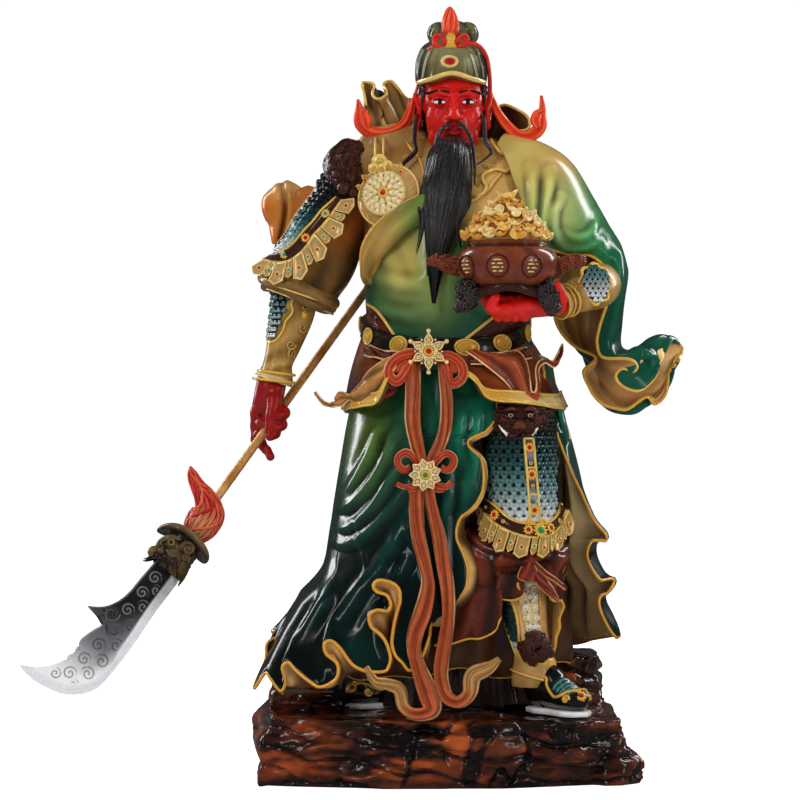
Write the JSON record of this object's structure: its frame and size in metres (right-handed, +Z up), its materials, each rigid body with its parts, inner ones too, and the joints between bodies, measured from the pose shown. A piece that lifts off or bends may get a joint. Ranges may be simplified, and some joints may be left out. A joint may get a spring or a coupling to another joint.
{
  "type": "guan yu statue",
  "caption": "Painted cast figure of a bearded general in armour and robes on a rock plinth, holding a gold-heaped bowl and a crescent-bladed polearm.",
  "frame": {"origin": "centre of the plinth's flat underside", "axes": "+Z up along the figure, the front faces -Y, and +X is to the viewer's right, which is the figure's left-hand side"},
  "size_m": [0.4044, 0.1959, 0.48],
  "materials": {
    "rock_paint": "glossy amber-brown and black painted resin, carved as layered rock",
    "robe_green": "glossy deep green painted resin that turns to gold at the shoulders",
    "gold_trim": "satin gold paint on raised edges and ornaments",
    "lining_gold": "satin old-gold paint with brown shading",
    "skin_red": "glossy crimson paint",
    "hair_black": "glossy black paint over fine grooves",
    "mail_dark": "black, teal and silver painted scales",
    "leather_brown": "glossy bronze-brown paint",
    "ribbon_orange": "satin orange-red paint over fine grooves",
    "gem_red": "clear glossy red paint on small beads",
    "bowl_brown": "glossy red-brown paint",
    "treasure_gold": "bright pale gold paint",
    "shaft_gold": "copper-gold paint",
    "blade_steel": "silver-grey metallic paint, darker towards the head"
  },
  "bodies": {
    "root": {"rock_plinth": "rock_paint", "figure": "robe_green", "treasure_bowl": "bowl_brown", "polearm_shaft": "shaft_gold", "polearm_head": "blade_steel"}
  },
  "joints": []
}
